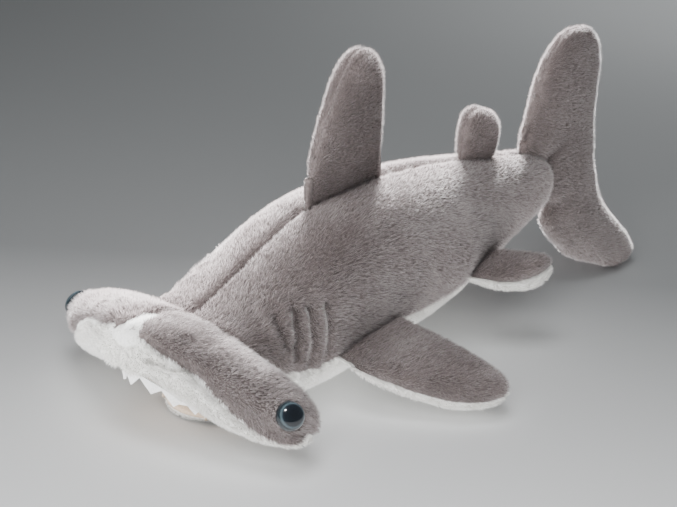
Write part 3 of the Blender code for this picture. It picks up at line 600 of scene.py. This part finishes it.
def cut_panel(name, shell, label, finish):
    """One panel of cloth from a shell, with its thickness turned inwards."""
    points, quads, labels, away, trim = shell
    mine = quads[labels == label]
    used, compact = np.unique(mine, return_inverse=True)
    compact = compact.reshape(mine.shape)
    normals = point_normals(points, quads)[used]
    patch = (points[used], compact, normals, away[used], trim[used])
    made = piece(name, mesh_of(name, patch[0], compact), finish)
    backing = made.modifiers.new("cloth", "SOLIDIFY")
    backing.thickness = 1.0 * MM
    backing.offset = -1.0
    return made, patch


def sew_bag(name, panels, more, voxel, smoothing, pressure, most, levels, depth_of, width, shape=None,
            bias=None, seed=1, mouth=False, depth=BACKING_DEPTH):
    """Makes a bag's shell: its points, quads, panel numbers, distances to the seams and how
    much of the pile's length is left after the maker's shears."""
    shell = wrap(name + "_shell", list(panels) + list(more), voxel, smoothing)
    points, quads = arrays(shell.data)
    far = panel_distances(points, panels)
    if bias is not None:
        far = far - np.array(bias) * MM
    ordered = np.sort(far, axis=1)
    to_seam = ordered[:, 1] - ordered[:, 0]
    held = np.exp(-((to_seam / (0.8 * voxel)) ** 2))
    if mouth:
        to_mouth = mouth_distance(points)
        held = np.maximum(held, smooth_step(2.0 - to_mouth / (4 * MM)))
    for column in range(far.shape[1]):
        layer = shell.data.attributes.new("far_%d" % column, "FLOAT", "POINT")
        layer.data.foreach_set("value", far[:, column].astype(np.float32))
    stuff(shell, held, pressure, most)
    refine(shell, levels)
    points, quads = arrays(shell.data)
    columns = []
    for column in range(len(panels)):
        values = np.zeros(len(points), np.float32)
        shell.data.attributes["far_%d" % column].data.foreach_get("value", values)
        columns.append(values)
    bpy.data.objects.remove(shell)
    far = np.array(columns).T
    labels = far[quads].mean(1).argmin(1)
    to_eye = np.min([np.linalg.norm(points - centre, axis=1) for centre, _ in EYES.values()], axis=0)
    sunk = depth * smooth_step((to_eye - 7 * MM) / (8 * MM))
    points -= point_normals(points, quads) * sunk[:, None]
    points, away = draw_in(points, quads, labels, depth_of, width, seed)
    trim = np.ones(len(points))
    if mouth:
        to_mouth = mouth_distance(points)
        points -= point_normals(points, quads) * (1.6 * MM * smooth_step(2.0 - to_mouth / (4 * MM)))[:, None]
        trim = smooth_step((to_mouth - 1.8 * MM) / (6 * MM)) ** 0.7
    if shape is not None:
        points = shape(points, point_normals(points, quads))
    return points, quads, labels, away, trim


def finish_panel(made, pile, body, node, blend=None):
    for one in (made, pile):
        if blend is None:
            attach(one, body)
        else:
            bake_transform(one)
    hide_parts(node)


# ---------------------------------------------------------------- trunk: body and head

GILL_FOLDS = (
    ((35.5, -136.5, 59.2), (40.4, -137.8, 52.5), (44.5, -133.4, 43.4)),
    ((37.5, -126.3, 62.8), (43.3, -128.0, 51.0), (45.3, -128.9, 37.0)),
    ((40.6, -118.1, 62.4), (45.5, -118.3, 49.2), (45.2, -118.6, 30.8)),
    ((43.4, -107.5, 62.4), (46.6, -107.1, 46.7), (44.9, -106.9, 28.6)),
)
GILL_DEPTH = (2.6, 4.0, 4.4, 4.6)      # millimetres
GILL_WIDTH = 1.9 * MM
GILL_RIDGE = 1.1 * MM
NOSE_CLEFT = ((0.0, -206.0, 62.5), (0.0, -200.0, 66.0), (0.0, -192.0, 67.0))
NOSE_DART = ((2.5, -206.0, 60.8), (6.5, -207.0, 58.8), (14.8, -208.2, 53.6))
NOSE_CREASE = ((20.0, -207.4, 49.2), (24.5, -206.6, 48.6), (29.5, -204.2, 48.9), (35.2, -200.5, 51.4))
MOUTH_MIDDLE = np.array([0.0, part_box("upper_teeth")[0].y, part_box("upper_teeth")[1].z])
LIP_HALF_WIDTH = 23 * MM
LIP_DROP = 9.5 * MM
LIP_FORWARD = 1.5 * MM
LIP_START = 1.0 * MM          # behind the front of the upper teeth
LIP_RUN = 7 * MM              # from there to where it hangs fully
LIP_FADE = 18 * MM            # over this height the drop dies away
LIP_HEIGHT = 2.4              # in the same heights, where it has gone
NECK_KNOB = ((24.8, -187.5, 62.4), (26.5, -186.0, 62.0))


def snout(points):
    """The front of the head hangs over the middle of the upper teeth like a lip."""
    behind = (points @ np.array(TAILWARD)) - MOUTH_MIDDLE @ np.array(TAILWARD)
    above = (points @ np.array(UPRIGHT)) - MOUTH_MIDDLE @ np.array(UPRIGHT)
    share = np.exp(-((points[:, 0] / LIP_HALF_WIDTH) ** 4)) * smooth_step((LIP_START - behind) / LIP_RUN)
    share *= smooth_step(LIP_HEIGHT - above / LIP_FADE)
    return points - share[:, None] * np.array(UPRIGHT * LIP_DROP + TAILWARD * LIP_FORWARD)


def shape_trunk(points, normals):
    points = snout(points)
    for path, depth in zip(GILL_FOLDS, GILL_DEPTH):
        for side in both_sides(path):
            points = fold(points, normals, side, depth * MM, GILL_WIDTH, GILL_RIDGE,
                          -np.array(TAILWARD))
    points = fold(points, normals, both_sides(NOSE_CLEFT)[0], 3.0 * MM, 9 * MM)
    for side in both_sides(NOSE_DART):
        points = fold(points, normals, side, -1.3 * MM, 1.3 * MM)
    for side in both_sides(NOSE_CREASE):
        points = fold(points, normals, side, 2.2 * MM, 2.4 * MM, 1.0 * MM, UPRIGHT)
    for side in both_sides(NECK_KNOB):
        points = fold(points, normals, side, -1.8 * MM, 3.5 * MM)
    lumps = 0.55 * MM * drift(points, 22 * MM, 71) + 0.30 * MM * drift(points, 9 * MM, 72)
    return points + normals * lumps[:, None]


TRUNK = ("back_panel_left", "back_panel_right", "belly_panel",
         "head_top_left", "head_top_right", "head_under_left", "head_under_right")


def make_trunk():
    back_l, back_r, belly, top_l, top_r, under_l, under_r = range(7)
    depth_of = {
        (back_l, back_r): 2.6 * MM, (back_l, belly): 1.0 * MM, (back_r, belly): 1.0 * MM,
        (top_l, top_r): 2.4 * MM, (under_l, under_r): 1.3 * MM,
        (top_l, under_l): 3.6 * MM, (top_r, under_r): 3.6 * MM,
        (back_l, top_l): 0.6 * MM, (back_r, top_r): 0.6 * MM,
        (belly, under_l): 1.0 * MM, (belly, under_r): 1.0 * MM,
    }
    shell = sew_bag("trunk", TRUNK, ("body_stuffing", "head_stuffing"), 4.0 * MM, 5, 3.5, 1.8 * MM, 2,
                    depth_of, 2.4 * MM, shape_trunk, seed=11, mouth=True)
    bare = [(centre + axis * 1.0 * MM, 0.5 * EYE_DIAMETER - 0.3 * MM) for centre, axis in EYES.values()]
    for label, node in enumerate(TRUNK):
        grey = "back" in node or "top" in node
        made, patch = cut_panel(node.replace("panel", "plush") if "panel" in node else node + "_plush",
                                shell, label, grey_knit if grey else white_knit)
        comb = comb_outward if node.startswith("head") else comb_tailward
        pile = grow_pile(node.replace("_panel", "") + "_pile", "root", patch,
                         grey_tints if grey else white_tints,
                         GREY_PILE if grey else WHITE_PILE, comb, 100 + 10 * label,
                         bare if "top" in node else None,
                         seam_painted_shade=HEAD_SEAM_PAINTED_SHADE if "top" in node else SEAM_PAINTED_SHADE)
        finish_panel(made, pile, "root", node)


# ---------------------------------------------------------------- fins

FIN_PILE = 0.92               # of the body's pile

FINS = {
    # body: (panels, joint, voxel, blend length, how far the root reaches into the trunk)
    "dorsal_fin": (("left", "right"), "dorsal_bend", 3.0 * MM, 16 * MM, 11 * MM),
    "second_fin": (("left", "right"), "second_bend", 2.4 * MM, 10 * MM, 10 * MM),
    "tail_fin": (("left", "right"), "tail_bend", 3.0 * MM, 16 * MM, 12 * MM),
    "pectoral_left": (("top", "under"), "pectoral_lift_left", 3.0 * MM, 16 * MM, 11 * MM),
    "pectoral_right": (("top", "under"), "pectoral_lift_right", 3.0 * MM, 16 * MM, 11 * MM),
    "pelvic_left": (("top", "under"), "pelvic_lift_left", 2.4 * MM, 10 * MM, 10 * MM),
    "pelvic_right": (("top", "under"), "pelvic_lift_right", 2.4 * MM, 10 * MM, 10 * MM),
}


def fin_direction(body, nodes):
    """From the hinge to the middle of the fin, square to the hinge's axis."""
    joint = JOINTS[FINS[body][1]]
    hinge, axis = Vector(joint["pos_m"]), Vector(joint["axis"])
    if body == "tail_fin":
        return hinge, TAILWARD.copy()
    corners = [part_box(node) for node in nodes]
    middle = sum((low + high for low, high in corners), Vector()) / (2 * len(corners))
    out = middle - hinge
    out -= axis * out.dot(axis)
    return hinge, out.normalized()


def make_fin(body, seed):
    halves, _, voxel, bend, sink = FINS[body]
    panels = ["%s_%s" % (body, half) for half in halves]
    filling_node = body + "_stuffing"
    hinge, out = fin_direction(body, panels)

    def root_into_trunk(points, normals):
        along = (points - np.array(hinge)) @ np.array(out)
        pull = smooth_step(1.0 - along / (12 * MM))
        if body == "tail_fin":
            high = (points - np.array(hinge)) @ np.array(UPRIGHT)
            pull *= smooth_step(1.6 - np.abs(high) / (13 * MM))
            flare = np.exp(-(((high - 25 * MM) / (13 * MM)) ** 2)) * smooth_step(-along / (12 * MM))
            points = points - flare[:, None] * np.array(TAILWARD * 7 * MM + UPRIGHT * 10 * MM)
        points = points - pull[:, None] * sink * np.array(out)
        lumps = 0.35 * MM * drift(points, 14 * MM, seed + 7)
        return points + normals * lumps[:, None]

    bias = (0.0, 1.8) if halves[1] == "under" else None
    shell = sew_bag(body, panels, (filling_node,), voxel, 3, 3.0, 1.6 * MM, 1 if voxel < 2.6 * MM else 2,
                    {(0, 1): 1.0 * MM}, 1.8 * MM, root_into_trunk, bias, seed, depth=1.5 * MM)
    blend = (hinge - out * 3 * MM, hinge + out * bend)
    back = 0.9 if body != "tail_fin" else 0.6
    direction = UPRIGHT * 1.0 if body in ("dorsal_fin", "second_fin") else out
    if body == "tail_fin":
        direction = TAILWARD
    for label, node in enumerate(panels):
        grey = not node.endswith("under")
        made, patch = cut_panel(node + "_plush", shell, label, grey_knit if grey else white_knit)
        length = (GREY_PILE if grey else WHITE_PILE) * FIN_PILE
        # the fins' darker tones are painted shade
        paired = "_left" in body or "_right" in body
        pile = grow_pile(node + "_pile", body, patch, grey_tints if grey else white_tints,
                         length, comb_along(direction, back), seed + 20 + label,
                         tone=PAIRED_FIN_PAINTED_SHADE_TONE if paired else UPRIGHT_FIN_PAINTED_SHADE_TONE)
        finish_panel(made, pile, body, node, blend)


# ---------------------------------------------------------------- mouth

def soften(name, node, finish, bulge, grain, levels=2, body="root"):
    """A copy of a small cloth piece with rounder edges and an uneven face."""
    made = piece(name, frame["nodes"][node].data.copy())
    made.data.materials.clear()
    made.data.materials.append(finish)
    edge = made.modifiers.new("edge", "BEVEL")
    edge.width = bulge
    edge.segments = 2
    edge.limit_method = "ANGLE"
    finer = made.modifiers.new("finer", "SUBSURF")
    finer.subdivision_type = "SIMPLE"
    finer.levels = levels
    finer.render_levels = levels
    bake_modifiers(made)
    mesh = made.data
    points = np.zeros(len(mesh.vertices) * 3)
    mesh.vertices.foreach_get("co", points)
    points = points.reshape(-1, 3)
    normals = np.zeros(len(mesh.vertices) * 3)
    mesh.vertex_normals.foreach_get("vector", normals)
    normals = normals.reshape(-1, 3)
    points = points + normals * (grain * drift(points, 1.3 * MM, 5))[:, None]
    mesh.vertices.foreach_set("co", points.astype(np.float32).ravel())
    mesh.update()
    mesh.shade_smooth()
    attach(made, body)
    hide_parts(node)
    return made


def make_mouth():
    soften("upper_felt_teeth", "upper_teeth", felt, 0.25 * MM, 0.12 * MM)
    soften("lower_felt_teeth", "lower_teeth", felt, 0.25 * MM, 0.12 * MM, body="jaw")
    soften("palate_cloth", "palate_lining", beige_nap, 0.2 * MM, 0.3 * MM)
    panels = ("jaw_lining", "jaw_cover")
    shell = sew_bag("jaw", panels, ("jaw_stuffing",), 2.2 * MM, 2, 2.0, 0.8 * MM, 1, {(0, 1): 0.5 * MM},
                    1.5 * MM, seed=61, depth=1.0 * MM)
    lining, _ = cut_panel("jaw_lining_cloth", shell, 0, beige_nap)
    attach(lining, "jaw")
    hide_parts("jaw_lining")
    cover, patch = cut_panel("jaw_cover_plush", shell, 1, white_knit)
    pile = grow_pile("jaw_cover_pile", "jaw", patch, white_tints, WHITE_PILE * 0.8,
                     comb_along(-TAILWARD, 0.0), 66)
    finish_panel(cover, pile, "jaw", "jaw_cover")


# ---------------------------------------------------------------- eyes

EYE_DOME = 4.6 * MM
EYE_DOME_RINGS = 16
EYE_SEGMENTS = 64


def make_eyes():
    eyes = []
    for hand, (centre, axis) in EYES.items():
        radius = 0.5 * EYE_DIAMETER
        profile = [(0.0, -0.2 * MM), (radius * 0.97, -0.2 * MM), (radius, 0.2 * MM),
                   (radius * 0.985, 0.8 * MM)]
        for k in range(1, EYE_DOME_RINGS + 1):
            a = 0.5 * math.pi * k / EYE_DOME_RINGS
            profile.append((0.965 * radius * math.cos(a), 0.9 * MM + EYE_DOME * math.sin(a)))
        rings, segments = len(profile), EYE_SEGMENTS
        points = []
        for r, z in profile:
            for s in range(segments):
                angle = 2 * math.pi * s / segments
                points.append((r * math.cos(angle), r * math.sin(angle), z))
        faces = []
        for i in range(rings - 1):
            for s in range(segments):
                t = (s + 1) % segments
                inner, outer = i * segments, (i + 1) * segments
                faces.append((inner + s, inner + t, outer + t, outer + s))
        mesh = mesh_of("eye", np.array(points), np.array(faces))
        b = bmesh.new()
        b.from_mesh(mesh)
        bmesh.ops.remove_doubles(b, verts=b.verts, dist=1e-6)
        b.to_mesh(mesh)
        b.free()
        made = piece("domed_eye_" + hand, mesh, eye_acrylic)
        place = Vector(axis).to_track_quat("Z", "Y").to_matrix().to_4x4()
        place.translation = Vector(centre)
        made.matrix_world = place
        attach(made, "root")
        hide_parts("eye_" + hand)
        eyes.append(made)
        washer = frame["nodes"]["eye_washer_" + hand]
        washer.data.materials.clear()
        washer.data.materials.append(lock_plastic)
    return eyes


# ---------------------------------------------------------------- fillings

def make_fillings():
    """Loose fibre, one lump for each bag, out of sight inside the skins."""
    for node, body in [(n, n.replace("_stuffing", "")) for n in frame["nodes"] if n.endswith("_stuffing")]:
        body = "root" if body in ("body", "head") else body
        made = wrap(node.replace("_stuffing", "_fibre"), (node,), 3.0 * MM if body == "root" else 1.6 * MM, 1)
        points, quads = arrays(made.data)
        normals = point_normals(points, quads)
        sunk = 0.5 * MM + 0.5 * MM * drift(points, 6 * MM, 3)
        points = points - normals * sunk[:, None]
        made.data.vertices.foreach_set("co", points.astype(np.float32).ravel())
        made.data.materials.append(filling)
        made.data.shade_smooth()
        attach(made, body)
        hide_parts(node)


# ---------------------------------------------------------------- camera, floor and lights

CAMERA_AZIMUTH = 45.0         # in the shark's own frame, round its upright
CAMERA_ELEVATION = 24.5
CAMERA_DISTANCE = 1.02
LENS = 97.6
AIM_RIGHT = 47.5 / 1836       # the middle of the picture lies to the left of the aim and below it
AIM_UP = 18.5 / 1836
OWN_AIM = Vector((0.0, 0.165, 0.062))
OWN_HINGE = Vector((0.0, 0.3054, 0.058803))      # the tail's hinge in the shark's own frame


def own_to_world():
    """The shark's own frame: origin under the middle of its head, before it is tipped."""
    turn = Matrix((LEFTWARD, TAILWARD, UPRIGHT)).transposed().to_4x4()
    hinge = Vector(JOINTS["tail_bend"]["pos_m"])
    turn.translation = hinge - turn.to_3x3() @ OWN_HINGE
    return turn


def make_camera():
    azimuth, elevation = math.radians(CAMERA_AZIMUTH), math.radians(CAMERA_ELEVATION)
    back = Vector((math.sin(azimuth) * math.cos(elevation), -math.cos(azimuth) * math.cos(elevation),
                   math.sin(elevation)))
    right = Vector((math.cos(azimuth), math.sin(azimuth), 0.0))
    up = back.cross(right)
    eye = OWN_AIM + back * CAMERA_DISTANCE
    forward = (-back - right * AIM_RIGHT - up * AIM_UP).normalized()
    right = forward.cross(up).normalized()
    up = right.cross(forward)
    turn = Matrix((right, up, -forward)).transposed().to_4x4()
    turn.translation = eye
    data = bpy.data.cameras.new("camera")
    data.lens = LENS
    data.sensor_width = 36.0
    camera = bpy.data.objects.new("camera", data)
    bpy.context.scene.collection.objects.link(camera)
    camera.matrix_world = own_to_world() @ turn
    bpy.context.scene.camera = camera


def add_light(name, place, aim, size, power, spread, colour="#ffffff"):
    data = bpy.data.lights.new(name, "AREA")
    data.shape = "DISK"
    data.size = size
    data.energy = power
    data.spread = math.radians(spread)
    data.color = linear(colour)[:3]
    made = bpy.data.objects.new(name, data)
    bpy.context.scene.collection.objects.link(made)
    made.location = place
    made.rotation_mode = "QUATERNION"
    made.rotation_quaternion = (Vector(aim) - Vector(place)).to_track_quat("-Z", "Y")
    made.visible_camera = False
    return made


CATCH_RIGHT = -0.43           # how the dome leans where the dot sits, as seen from the front
CATCH_UP = 0.25
CATCH_DISTANCE = 0.7


def make_catch_light(eyes):
    """A small lamp seen only in the polished eyes, as a dot high on the left one's pupil."""
    camera = bpy.context.scene.camera.matrix_world
    right, up = camera.col[0].xyz, camera.col[1].xyz
    centre, axis = (Vector(part) for part in EYES["left"])
    normal = (axis + CATCH_RIGHT * right + CATCH_UP * up).normalized()
    view = (camera.translation - centre).normalized()
    beam = 2 * normal.dot(view) * normal - view
    lamp = add_light("catch_light", centre + beam * CATCH_DISTANCE, centre, 0.07, 0.35, 60)
    polished = bpy.data.collections.new("polished_eyes")
    for eye in eyes:
        polished.objects.link(eye)
    lamp.light_linking.receiver_collection = polished


def make_studio():
    floor = piece("studio_floor", mesh_of("studio_floor", np.array(
        [[-3.0, -3.0, 0], [3.0, -3.0, 0], [3.0, 3.0, 0], [-3.0, 3.0, 0]]), np.array([[0, 1, 2, 3]])))
    paper, tree, shader = new_material("backdrop_paper", "#c9cacc", Roughness=0.8)
    place = add_node(tree, "ShaderNodeTexCoord")
    depth = add_node(tree, "ShaderNodeVectorMath", {"operation": "DOT_PRODUCT"})
    depth.inputs[1].default_value = (-0.7071, 0.7071, 0.0)
    tree.links.new(place.outputs["Object"], depth.inputs[0])
    # painted light: the paper is coloured pale nearest the camera, darkest a short way beyond and a little
    # lighter again far off, a painted pool of light and falloff
    graded = add_node(tree, "ShaderNodeMapRange", {"From Min": -0.25, "From Max": 0.75},
                      Value=depth.outputs["Value"])
    painted_light_falloff = add_node(tree, "ShaderNodeValToRGB", Fac=graded.outputs["Result"])
    painted_light_falloff.color_ramp.elements[0].color = linear("#d6d7d8")
    painted_light_falloff.color_ramp.elements[1].color = linear("#8f9192")
    painted_light_falloff.color_ramp.elements.new(0.36).color = linear("#858788")
    tree.links.new(painted_light_falloff.outputs["Color"], shader.inputs["Base Color"])
    tooth = add_node(tree, "ShaderNodeTexNoise", {"Scale": 400.0}, Vector=place.outputs["Object"])
    bump = add_node(tree, "ShaderNodeBump", {"Strength": 0.04, "Distance": 0.0004},
                    Height=tooth.outputs["Fac"])
    tree.links.new(bump.outputs["Normal"], shader.inputs["Normal"])
    floor.data.materials.append(paper)
    middle = (0.0, 0.0, 0.06)
    off_floor = bpy.data.collections.new("not_lit_from_the_back")
    off_floor.objects.link(floor)
    off_floor.collection_objects[0].light_linking.link_state = "EXCLUDE"
    back = add_light("back_softbox", (-0.66, 0.58, 0.60), middle, 0.40, 24, 75)
    bounce = add_light("table_bounce", (0.15, -0.25, 0.004), (0.15, -0.25, 1.0), 1.3, 10.0, 180)
    front = add_light("front_softbox", (-0.30, -0.85, 0.30), (0.0, -0.15, 0.05), 0.5, 3.0, 90)
    for light in (back, bounce, front):
        light.light_linking.receiver_collection = off_floor
    top = add_light("top_softbox", (0.20, -0.35, 0.95), middle, 0.5, 3.5, 120)
    only_floor = bpy.data.collections.new("the_floor")
    only_floor.objects.link(floor)
    near = add_light("near_paper_light", (0.55, -0.75, 0.60), (0.20, -0.30, 0.0), 0.6, 4.6, 120)
    far = add_light("far_paper_light", (-0.35, 1.05, 0.55), (-0.35, 1.05, 0.0), 0.7, 4.0, 150)
    for light in (near, far):
        light.light_linking.receiver_collection = only_floor
    for light in (back, bounce, front, top, near, far):
        light.visible_glossy = False
    world = bpy.data.worlds.new("studio")
    world.use_nodes = True
    world.node_tree.nodes["Background"].inputs["Color"].default_value = linear("#8f9294")
    world.node_tree.nodes["Background"].inputs["Strength"].default_value = 0.48
    bpy.context.scene.world = world


# ---------------------------------------------------------------- the whole toy

make_camera()
make_studio()
make_trunk()
for number, fin in enumerate(FINS):
    make_fin(fin, 300 + 50 * number)
make_mouth()
make_catch_light(make_eyes())
make_fillings()
